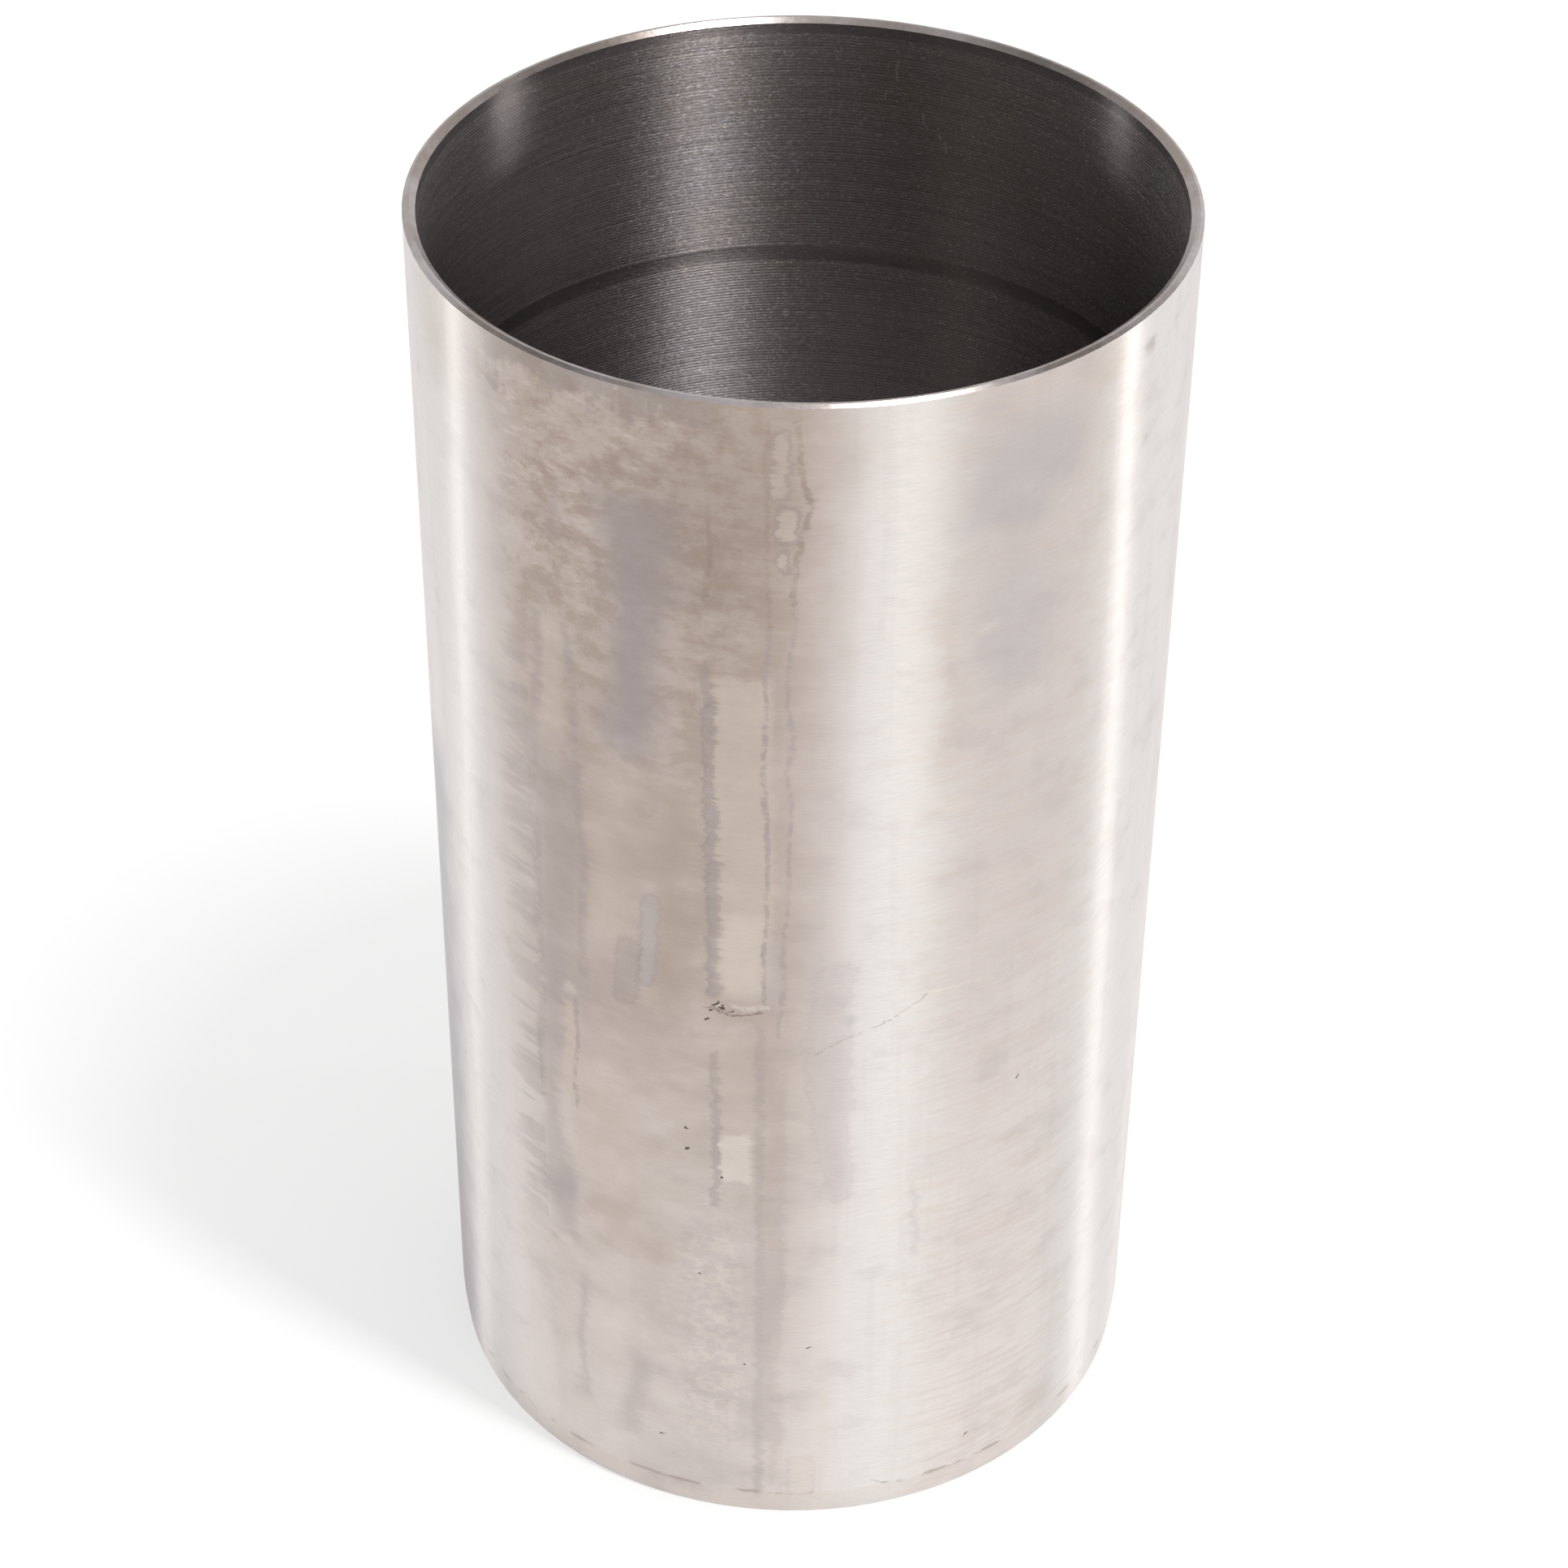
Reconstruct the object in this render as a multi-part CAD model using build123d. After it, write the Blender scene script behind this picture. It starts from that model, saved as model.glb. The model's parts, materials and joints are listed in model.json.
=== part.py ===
from build123d import *
import os

# Dry cylinder liner, semi-finished: a thin-wall tube with no flange, turned from one iron casting.
# The outside is ground to press into the block. The bore is left as turned, to be finished in place.
# Millimetres. +Z runs up the bore axis, and the origin is the centre of the bottom end face.

# Tube
bore_diameter = 87.0
wall_thickness = 1.5
liner_length = 168.0

# Bottom end: a long shallow taper outside leads the liner into the block, a small bevel is inside
lead_taper_height = 3.7
lead_taper_depth = 0.35
lead_taper_blend_radius = 8.0
bottom_corner_radius = 0.15
bottom_bore_bevel = 0.5

# Top rim, from the outside in: an outer bevel, a narrow flat land and a wide inner bevel
rim_outer_bevel_width = 0.45
rim_outer_bevel_drop = 0.3
rim_land_width = 0.35
rim_inner_bevel_drop = 0.53

# Bore: a plain band where the boring tool entered, and a plain ring where its feed paused.
# Both lie just below the turned surface, with a short slope at each edge.
entry_band_height = 1.3
pause_ring_from_top = 31.2
pause_ring_height = 2.1
band_relief = 0.03
band_slope_height = 0.1

# Worked out from the sizes above
bore_radius = bore_diameter / 2
outer_radius = bore_radius + wall_thickness
relieved_radius = bore_radius + band_relief
rim_land_outer_radius = outer_radius - rim_outer_bevel_width
rim_land_inner_radius = rim_land_outer_radius - rim_land_width
entry_band_top = liner_length - rim_inner_bevel_drop
entry_band_bottom = entry_band_top - entry_band_height
pause_ring_top = liner_length - pause_ring_from_top
pause_ring_bottom = pause_ring_top - pause_ring_height

sharp = 0.0


def outer_wall_corners():
    """Outside of the section, from the bottom end up to the rim's land."""
    return [
        (outer_radius - lead_taper_depth, 0.0, bottom_corner_radius),
        (outer_radius, lead_taper_height, lead_taper_blend_radius),
        (outer_radius, liner_length - rim_outer_bevel_drop, sharp),
        (rim_land_outer_radius, liner_length, sharp),
    ]


def entry_corners():
    """Inner bevel of the rim and the plain band below it, down to the turned wall."""
    return [
        (rim_land_inner_radius, liner_length, sharp),
        (relieved_radius, entry_band_top, sharp),
        (relieved_radius, entry_band_bottom, sharp),
        (bore_radius, entry_band_bottom - band_slope_height, sharp),
    ]


def pause_ring_corners():
    """The plain ring part-way down the bore, from its upper edge to its lower one."""
    return [
        (bore_radius, pause_ring_top + band_slope_height, sharp),
        (relieved_radius, pause_ring_top, sharp),
        (relieved_radius, pause_ring_bottom, sharp),
        (bore_radius, pause_ring_bottom - band_slope_height, sharp),
    ]


def bottom_bore_corners():
    """The small bevel where the bore meets the bottom end face."""
    return [
        (bore_radius, bottom_bore_bevel, sharp),
        (bore_radius + bottom_bore_bevel, 0.0, sharp),
    ]


def liner_section():
    """Half-section of the wall, drawn in the XZ plane as one closed outline."""
    corners = outer_wall_corners() + entry_corners() + pause_ring_corners() + bottom_bore_corners()
    points = [(radius, height) for radius, height, rounding in corners]
    roundings = [rounding for radius, height, rounding in corners]
    with BuildSketch(Plane.XZ) as section:
        with BuildLine():
            FilletPolyline(*points, radius=roundings, close=True)
        make_face()
    return section.sketch


liner = revolve(liner_section(), axis=Axis.Z)
liner.label = "cylinder_liner"

os.makedirs("parts", exist_ok=True)
export_step(liner, "parts/cylinder_liner.step")
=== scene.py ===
import json
import math

import bmesh
import bpy
import numpy as np
from mathutils import Matrix, Vector


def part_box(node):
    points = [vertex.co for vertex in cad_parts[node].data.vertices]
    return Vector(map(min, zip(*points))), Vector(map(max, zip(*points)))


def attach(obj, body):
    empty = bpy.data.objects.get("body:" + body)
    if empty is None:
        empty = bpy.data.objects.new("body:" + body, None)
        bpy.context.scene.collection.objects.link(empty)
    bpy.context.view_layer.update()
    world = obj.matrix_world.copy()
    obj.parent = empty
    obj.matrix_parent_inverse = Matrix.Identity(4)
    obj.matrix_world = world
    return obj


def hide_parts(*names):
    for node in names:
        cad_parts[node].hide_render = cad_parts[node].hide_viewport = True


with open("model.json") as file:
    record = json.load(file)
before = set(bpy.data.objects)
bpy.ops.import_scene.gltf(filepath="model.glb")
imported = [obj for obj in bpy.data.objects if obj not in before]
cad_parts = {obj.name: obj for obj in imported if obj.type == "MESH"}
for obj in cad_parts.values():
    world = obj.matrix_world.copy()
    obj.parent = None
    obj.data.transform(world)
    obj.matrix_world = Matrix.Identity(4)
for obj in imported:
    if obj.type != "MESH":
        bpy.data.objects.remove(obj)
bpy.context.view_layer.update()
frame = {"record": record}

mm = 0.001
scene = bpy.context.scene
mounts = {mount["name"]: mount for mount in frame["record"]["mounts"]}
boreRadius = mounts["bore"]["dims"]["r_mm"] * mm
outerRadius = mounts["outer_wall"]["dims"]["r_mm"] * mm
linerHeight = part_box("cylinder_liner")[1][2]


# small helpers for building node trees

def addNode(tree, kind, inputs=(), **settings):
    # inputs: socket names or places with what goes into each
    made = tree.nodes.new(kind)
    for key, value in settings.items():
        setattr(made, key, value)
    for socket, value in dict(inputs).items():
        feed(tree, made.inputs[socket], value)
    return made


def feed(tree, socket, value):
    # a socket is linked, anything else is typed in
    if isinstance(value, bpy.types.NodeSocket):
        tree.links.new(value, socket)
    else:
        socket.default_value = value


def calc(tree, operation, *values):
    return addNode(tree, "ShaderNodeMath", enumerate(values), operation=operation).outputs[0]


def chain(tree, operation, values):
    # joins the values two at a time, as they come
    result = None
    for value in values:
        result = value if result is None else calc(tree, operation, result, value)
    return result


def parts(tree, vector):
    return tuple(addNode(tree, "ShaderNodeSeparateXYZ", {0: vector}).outputs)


def pair(tree, a, b):
    return addNode(tree, "ShaderNodeCombineXYZ", {0: a, 1: b}).outputs[0]


def addInputs(tree, kind, *labels):
    for label in labels:
        tree.interface.new_socket(label, in_out="INPUT", socket_type="NodeSocket" + kind)


def addOutputs(tree, kind, *labels):
    for label in labels:
        tree.interface.new_socket(label, in_out="OUTPUT", socket_type="NodeSocket" + kind)


# the liner's shape

linerShape = {
    "segments": 96,                 # flats round the tube
    "taperHeight": 3.7 * mm,        # lead-in at the foot of the outside wall
    "taperDepth": 0.35 * mm,
    "taperBlendHeight": 0.38 * mm,  # how far the blend runs each side of the taper's top edge
    "footCorner": 0.12 * mm,
    "footBevel": 0.5 * mm,          # inside edge of the bottom end
    "rimOuterWidth": 0.45 * mm,
    "rimOuterDrop": 0.3 * mm,
    "rimLand": 0.35 * mm,
    "rimInnerDrop": 0.53 * mm,
    "entryBand": 1.3 * mm,          # plain band under the rim's inner bevel
    "ringFromTop": 31.2 * mm,       # plain ring where the feed paused
    "ringHeight": 2.1 * mm,
    "bandRelief": 0.03 * mm,
    "bandSlope": 0.1 * mm,
    "toolPitch": 0.4 * mm,          # turning marks in the bore
    "toolDepth": 0.034 * mm,
    "toolSpread": 0.35,             # share by which their depths differ
    "toolSeed": 11,
    "weld": 0.002 * mm,             # points nearer than this are joined
    "crispAngle": 6.0,              # degrees at which a crest stays sharp
    "endSlope": 0.45,               # a face belongs to an end if this share of its normal is upright
}


def linerOutline():
    # (radius, height) from the top of the turned wall over the rim, down the outside and in under the foot
    s = linerShape
    entryTop = linerHeight - s["rimInnerDrop"]
    entryFoot = entryTop - s["entryBand"]
    ringTop = linerHeight - s["ringFromTop"]
    ringFoot = ringTop - s["ringHeight"]
    relieved = boreRadius + s["bandRelief"]
    landOuter = outerRadius - s["rimOuterWidth"]
    footRadius = outerRadius - s["taperDepth"]
    slope = s["taperDepth"] / s["taperHeight"]
    blend = s["taperBlendHeight"]
    outside = [
        (boreRadius, entryFoot - s["bandSlope"]),
        (relieved, entryFoot),
        (relieved, entryTop),
        (landOuter - s["rimLand"], linerHeight),
        (landOuter, linerHeight),
        (outerRadius, linerHeight - s["rimOuterDrop"]),
        (outerRadius, s["taperHeight"] + blend),
        (outerRadius - slope * blend / 4, s["taperHeight"]),
        (outerRadius - slope * blend, s["taperHeight"] - blend),
        (footRadius + slope * s["footCorner"], s["footCorner"]),
        (footRadius - s["footCorner"], 0.0),
        (boreRadius + s["footBevel"], 0.0),
        (boreRadius, s["footBevel"]),
    ]
    ring = [
        (boreRadius, ringFoot - s["bandSlope"]),
        (relieved, ringFoot),
        (relieved, ringTop),
        (boreRadius, ringTop + s["bandSlope"]),
    ]
    return outside, ring


def turnedStretch(tree, start, end, pitch, depth, spread, seed):
    # a line up the bore wall whose every second point is cut back by one tool mark
    length = calc(tree, "SUBTRACT", end, start)
    marks = calc(tree, "ROUND", calc(tree, "DIVIDE", length, pitch))
    steps = calc(tree, "MULTIPLY", marks, 2.0)
    line = addNode(tree, "GeometryNodeMeshLine", {"Count": calc(tree, "ADD", steps, 1.0)}, mode="OFFSET")
    index = addNode(tree, "GeometryNodeInputIndex").outputs[0]
    height = calc(tree, "ADD", start, calc(tree, "MULTIPLY", calc(tree, "DIVIDE", index, steps), length))
    shallowest, deepest = calc(tree, "SUBTRACT", 1.0, spread), calc(tree, "ADD", 1.0, spread)
    chance = addNode(tree, "FunctionNodeRandomValue", {2: shallowest, 3: deepest, "Seed": seed},
                     data_type="FLOAT")
    cut = chain(tree, "MULTIPLY", (calc(tree, "MODULO", index, 2.0), depth, chance.outputs[1]))
    place = pair(tree, cut, calc(tree, "MULTIPLY", height, -1.0))
    moved = addNode(tree, "GeometryNodeSetPosition", {"Geometry": line.outputs[0], "Position": place})
    return moved.outputs[0]


def makeLatheTree(groundMetals, turnedMetal, endMetal):
    # turns the outline and the tool marks round Z; outlines hold (radius - bore radius, -height)
    s = linerShape
    tree = bpy.data.node_groups.new("linerLathe", "GeometryNodeTree")
    addInputs(tree, "Geometry", "Outline")
    addInputs(tree, "Int", "Segments", "Seed")
    addInputs(tree, "Float", "Bore Radius", "Upper Start", "Upper End", "Lower Start", "Lower End",
              "Tool Pitch", "Tool Depth", "Tool Spread")
    addOutputs(tree, "Geometry", "Geometry")
    given = addNode(tree, "NodeGroupInput").outputs
    marks = (given["Tool Pitch"], given["Tool Depth"], given["Tool Spread"])
    upper = turnedStretch(tree, given["Upper Start"], given["Upper End"], *marks, given["Seed"])
    lower = turnedStretch(tree, given["Lower Start"], given["Lower End"], *marks,
                          calc(tree, "ADD", given["Seed"], 1.0))
    outline = addNode(tree, "GeometryNodeJoinGeometry")
    for part in (given["Outline"], upper, lower):
        tree.links.new(part, outline.inputs[0])
    profile = addNode(tree, "GeometryNodeMeshToCurve", {"Mesh": outline.outputs[0]})
    circle = addNode(tree, "GeometryNodeCurvePrimitiveCircle", {
        "Resolution": given["Segments"], "Radius": given["Bore Radius"]}, mode="RADIUS")
    turned = addNode(tree, "GeometryNodeCurveToMesh", {
        "Curve": circle.outputs[0], "Profile Curve": profile.outputs[0]})
    closed = addNode(tree, "GeometryNodeMergeByDistance", {
        "Geometry": turned.outputs[0], "Distance": s["weld"]})

    # crests and rim edges stay crisp, the hollows between them are smooth
    bend = addNode(tree, "GeometryNodeInputMeshEdgeAngle").outputs["Signed Angle"]
    isCrest = calc(tree, "GREATER_THAN", bend, math.radians(s["crispAngle"]))
    crisp = addNode(tree, "GeometryNodeSetShadeSmooth", {
        "Geometry": closed.outputs[0], "Selection": isCrest, "Shade Smooth": False}, domain="EDGE")
    shown = addNode(tree, "GeometryNodeRealizeInstances", {0: crisp.outputs[0]}).outputs[0]

    # the bore faces the axis, the ends face up or down, and the rest is shared out by angle
    x, y, _ = parts(tree, addNode(tree, "GeometryNodeInputPosition").outputs[0])
    normalX, normalY, normalZ = parts(tree, addNode(tree, "GeometryNodeInputNormal").outputs[0])
    outward = calc(tree, "MULTIPLY_ADD", x, normalX, calc(tree, "MULTIPLY", y, normalY))
    inside = calc(tree, "LESS_THAN", outward, 0.0)
    isEnd = calc(tree, "GREATER_THAN", calc(tree, "ABSOLUTE", normalZ), s["endSlope"])
    angle = calc(tree, "DEGREES", calc(tree, "ARCTAN2", x, calc(tree, "MULTIPLY", y, -1.0)))
    coats = []
    for (_, start, end), metal in zip(wallFinish["sectors"], groundMetals):
        pastStart = calc(tree, "GREATER_THAN", angle, start)
        coats.append((metal, calc(tree, "MULTIPLY", pastStart, calc(tree, "LESS_THAN", angle, end))))
    for metal, selection in coats + [(turnedMetal, inside), (endMetal, isEnd)]:
        shown = addNode(tree, "GeometryNodeSetMaterial", {
            "Geometry": shown, "Selection": selection, "Material": metal}).outputs[0]
    addNode(tree, "NodeGroupOutput", {0: shown})
    return tree


def setInputs(modifier, values):
    identifiers = {
        item.name: item.identifier
        for item in modifier.node_group.interface.items_tree
        if item.in_out == "INPUT"
    }
    for label, value in values.items():
        modifier[identifiers[label]] = value


uvRows = {    # where each strip of the map starts, and its height
    "outside": (0.004, 0.484),
    "rim": (0.490, 0.016),
    "bore": (0.508, 0.472),
    "foot": (0.982, 0.014),
}
uvMargin = 0.002


def layUvMap(mesh):
    # one map unrolled from the back seam, a row for each strip
    corner = np.array([loop.vertex_index for loop in mesh.loops])
    points = np.array([vertex.co[:] for vertex in mesh.vertices])[corner]
    radius = np.hypot(points[:, 0], points[:, 1])
    turn = np.arctan2(points[:, 0], -points[:, 1]) / (2 * math.pi) + 0.5
    height = points[:, 2] / linerHeight
    across = (radius - boreRadius) / (outerRadius - boreRadius)
    u = turn.copy()
    v = np.zeros(len(corner))
    endSlope = linerShape["endSlope"]
    for face in mesh.polygons:
        at = slice(face.loop_start, face.loop_start + face.loop_total)
        if np.ptp(turn[at]) > 0.5:
            u[at] = np.where(turn[at] < 0.5, turn[at] + 1.0, turn[at])
        middle, normal = face.center, face.normal
        if abs(normal.z) < endSlope and middle.x * normal.x + middle.y * normal.y > 0:
            row, share = "outside", height[at]
        elif abs(normal.z) < endSlope:
            row, share = "bore", 1.0 - height[at]
        elif middle.z > linerHeight / 2:
            row, share = "rim", 1.0 - across[at]
        else:
            row, share = "foot", across[at]
        v[at] = uvRows[row][0] + uvRows[row][1] * share
    u = uvMargin + (1 - 2 * uvMargin) * u / u.max()
    layer = mesh.uv_layers.new(name="OFBake")
    layer.data.foreach_set("uv", np.stack([u, v], 1).ravel())


def makeLiner(groundMetals, turnedMetal, endMetal):
    s = linerShape
    outside, ring = linerOutline()
    points = [(radius - boreRadius, -height, 0.0) for radius, height in outside + ring]
    edges = [(i, i + 1) for i in range(len(outside) - 1)]
    edges += [(len(outside) + i, len(outside) + i + 1) for i in range(len(ring) - 1)]
    outline = bpy.data.meshes.new("linerOutline")
    outline.from_pydata(points, edges, [])
    blank = bpy.data.objects.new("linerBlank", outline)
    scene.collection.objects.link(blank)
    lathe = blank.modifiers.new("lathe", "NODES")
    lathe.node_group = makeLatheTree(groundMetals, turnedMetal, endMetal)
    setInputs(lathe, {
        "Bore Radius": boreRadius,
        "Segments": s["segments"],
        "Upper Start": ring[-1][1],
        "Upper End": outside[0][1],
        "Lower Start": outside[-1][1],
        "Lower End": ring[0][1],
        "Tool Pitch": s["toolPitch"],
        "Tool Depth": s["toolDepth"],
        "Tool Spread": s["toolSpread"],
        "Seed": s["toolSeed"],
    })
    evaluated = blank.evaluated_get(bpy.context.evaluated_depsgraph_get())
    mesh = bpy.data.meshes.new_from_object(evaluated)
    mesh.name = "liner"
    blank.modifiers.remove(lathe)
    bpy.data.objects.remove(blank)
    liner = bpy.data.objects.new("liner", mesh)
    scene.collection.objects.link(liner)
    return liner


def turnOutAndCount(mesh):
    # turns the faces outwards, gives the number of open edges
    work = bmesh.new()
    work.from_mesh(mesh)
    bmesh.ops.recalc_face_normals(work, faces=work.faces)
    openEdges = sum(1 for edge in work.edges if not edge.is_manifold)
    work.to_mesh(mesh)
    work.free()
    return openEdges


# the finishes

def startMaterial(name):
    material = bpy.data.materials.new(name)
    material.use_nodes = True
    return material, material.node_tree, material.node_tree.nodes["Principled BSDF"]


def vectorCalc(tree, operation, inputs):
    made = addNode(tree, "ShaderNodeVectorMath", inputs, operation=operation)
    return made.outputs["Value"] if operation == "LENGTH" else made.outputs[0]


def ramp(tree, value, low, high, toLow=0.0, toHigh=1.0, smooth=True):
    numbers = enumerate((value, low, high, toLow, toHigh))
    shape = "SMOOTHSTEP" if smooth else "LINEAR"
    return addNode(tree, "ShaderNodeMapRange", numbers, interpolation_type=shape).outputs[0]


def blend(tree, amount, a, b, mode="MIX"):
    made = addNode(tree, "ShaderNodeMix", {0: amount, 6: a, 7: b}, data_type="RGBA", blend_type=mode)
    return made.outputs[2]


# lays a colour over by a mask, for stains and also for painted shade and painted glints
def stainAndShade(tree, color, mask, strength, over):
    return blend(tree, calc(tree, "MULTIPLY", mask, strength), color, over)


def shadeBy(tree, color, amount):
    grey = addNode(tree, "ShaderNodeCombineColor", {0: amount, 1: amount, 2: amount})
    return blend(tree, 1.0, color, grey.outputs[0], "MULTIPLY")


def sway(tree, mask, amount, base=0.0):
    # the base, moved by how far the mask is off its middle
    return calc(tree, "MULTIPLY_ADD", calc(tree, "SUBTRACT", mask, 0.5), amount, base)


def useGroup(tree, group, values):
    return addNode(tree, "ShaderNodeGroup", values, node_tree=group).outputs


def pattern(tree, place, finish, name):
    # noise from the finish's "patterns": shift in mm, features per mm round the tube and along it,
    # detail, roughness
    shift, (roundTube, alongTube), detail, roughness = finish["patterns"][name]
    moved = vectorCalc(tree, "ADD", {0: place, 1: shift})
    stretched = vectorCalc(tree, "MULTIPLY", {0: moved, 1: (roundTube, roundTube, alongTube)})
    made = addNode(tree, "ShaderNodeTexNoise", {
        "Vector": stretched, "Scale": 1.0, "Detail": detail, "Roughness": roughness}, noise_dimensions="3D")
    return made.outputs[0]


def tinted(tree, color, finish, name, mask, where=1.0):
    # a colour laid over, from the finish's "tints": where the mask starts and is full, strength, colour
    low, high, strength, shade = finish["tints"][name]
    amount = chain(tree, "MULTIPLY", (ramp(tree, mask, low, high), where, strength))
    return blend(tree, amount, color, finish["colors"][shade])


def angleWindow(tree, angle, middle, halfWidth, soft):
    # 1 inside the window, also where it crosses the back
    off = calc(tree, "WRAP", calc(tree, "SUBTRACT", angle, middle), 180.0, -180.0)
    return ramp(tree, calc(tree, "ABSOLUTE", off), halfWidth + soft, max(halfWidth - soft, 0.0))


def zone(tree, finish, name, angle, height):
    # a mask from the finish's "zones": middle angle, half width, soft edge, fades of (from, full) height
    middle, halfWidth, soft, *fades = finish["zones"][name]
    window = angleWindow(tree, angle, middle, halfWidth, soft)
    return chain(tree, "MULTIPLY", [window] + [ramp(tree, height, *fade) for fade in fades])


def finishMetal(tree, shader, finish, color, rough, relief):
    bump = addNode(tree, "ShaderNodeBump", {"Distance": finish["bump"], "Height": relief})
    tangent = addNode(tree, "ShaderNodeTangent", direction_type="RADIAL", axis="Z")
    looks = {
        "Base Color": color,
        "Roughness": rough,
        "Metallic": 1.0,
        "Anisotropic": finish["anisotropy"],
        "Anisotropic Rotation": 0.25,    # the grain runs round the tube
        "Tangent": tangent.outputs[0],
        "Normal": bump.outputs[0],
    }
    for label, value in looks.items():
        feed(tree, shader.inputs[label], value)


def makeUnroller():
    # object place -> millimetres round the wall from the front, angle in degrees, millimetres up, place in mm
    tree = bpy.data.node_groups.new("unrolledPlace", "ShaderNodeTree")
    addInputs(tree, "Float", "Radius")
    addOutputs(tree, "Float", "Across", "Angle", "Height")
    addOutputs(tree, "Vector", "Millimetres")
    radius = addNode(tree, "NodeGroupInput").outputs["Radius"]
    coords = addNode(tree, "ShaderNodeTexCoord").outputs["Object"]
    solid = vectorCalc(tree, "SCALE", {0: coords, "Scale": 1 / mm})
    x, y, z = parts(tree, solid)
    turn = calc(tree, "ARCTAN2", x, calc(tree, "MULTIPLY", y, -1.0))
    addNode(tree, "NodeGroupOutput", {
        "Across": calc(tree, "MULTIPLY", turn, radius), "Angle": calc(tree, "DEGREES", turn),
        "Height": z, "Millimetres": solid})
    return tree


markShape = {
    "cornerRounding": (2.0, 0.6),   # a patch's corners: times its soft edge, plus mm
    "dryingLine": 0.45,             # half width of the line round a patch, in mm
    "strokeCore": 0.25,             # share of a stroke's width that is at full strength
}


def makePatchGroup():
    # a rounded, leaning patch on the unrolled wall: its fill, and the drying line round it
    tree = bpy.data.node_groups.new("stainAndShadePatch", "ShaderNodeTree")
    addInputs(tree, "Float", "Across", "Up", "Middle Across", "Middle Up", "Half Width", "Half Height",
              "Lean", "Soft")
    addOutputs(tree, "Float", "Fill", "Line")
    given = addNode(tree, "NodeGroupInput").outputs
    soft = given["Soft"]
    x = calc(tree, "SUBTRACT", given["Across"], given["Middle Across"])
    y = calc(tree, "SUBTRACT", given["Up"], given["Middle Up"])
    x = calc(tree, "ABSOLUTE", calc(tree, "SUBTRACT", x, calc(tree, "MULTIPLY", y, given["Lean"])))
    x = calc(tree, "SUBTRACT", x, given["Half Width"])
    y = calc(tree, "SUBTRACT", calc(tree, "ABSOLUTE", y), given["Half Height"])
    rounding = calc(tree, "MULTIPLY_ADD", soft, *markShape["cornerRounding"])
    outside = calc(tree, "SMOOTH_MAX", x, y, rounding)
    off = calc(tree, "ABSOLUTE", outside)
    addNode(tree, "NodeGroupOutput", {
        "Fill": ramp(tree, outside, soft, calc(tree, "MULTIPLY", soft, -1.0)),
        "Line": ramp(tree, off, markShape["dryingLine"], 0.0)})
    return tree


def makeStrokeGroup():
    # a straight stroke on the unrolled wall, from one end by a run to the other
    tree = bpy.data.node_groups.new("wallStroke", "ShaderNodeTree")
    addInputs(tree, "Float", "Across", "Up", "End Across", "End Up", "Run Across", "Run Up", "Width")
    addOutputs(tree, "Float", "Mask")
    given = addNode(tree, "NodeGroupInput").outputs
    runAcross, runUp, width = given["Run Across"], given["Run Up"], given["Width"]
    x = calc(tree, "SUBTRACT", given["Across"], given["End Across"])
    y = calc(tree, "SUBTRACT", given["Up"], given["End Up"])
    longWay = calc(tree, "MULTIPLY_ADD", runAcross, runAcross, calc(tree, "MULTIPLY", runUp, runUp))
    share = calc(tree, "MULTIPLY_ADD", y, runUp, calc(tree, "MULTIPLY", x, runAcross))
    share = calc(tree, "DIVIDE", share, longWay)
    share = calc(tree, "MINIMUM", calc(tree, "MAXIMUM", share, 0.0), 1.0)
    offX = calc(tree, "SUBTRACT", x, calc(tree, "MULTIPLY", share, runAcross))
    offY = calc(tree, "SUBTRACT", y, calc(tree, "MULTIPLY", share, runUp))
    off = vectorCalc(tree, "LENGTH", {0: pair(tree, offX, offY)})
    core = calc(tree, "MULTIPLY", width, markShape["strokeCore"])
    addNode(tree, "NodeGroupOutput", {"Mask": ramp(tree, off, width, core)})
    return tree


def drawRun(tree, strokeGroup, across, up, arc, width, run):
    # strokes end to end along a run of (angle, height); arc is the millimetres a degree takes
    return chain(tree, "MAXIMUM", (
        useGroup(tree, strokeGroup, {
            "Across": across, "Up": up, "End Across": a1 * arc, "End Up": h1,
            "Run Across": (a2 - a1) * arc, "Run Up": h2 - h1, "Width": width})["Mask"]
        for (a1, h1), (a2, h2) in zip(run, run[1:])))


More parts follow.
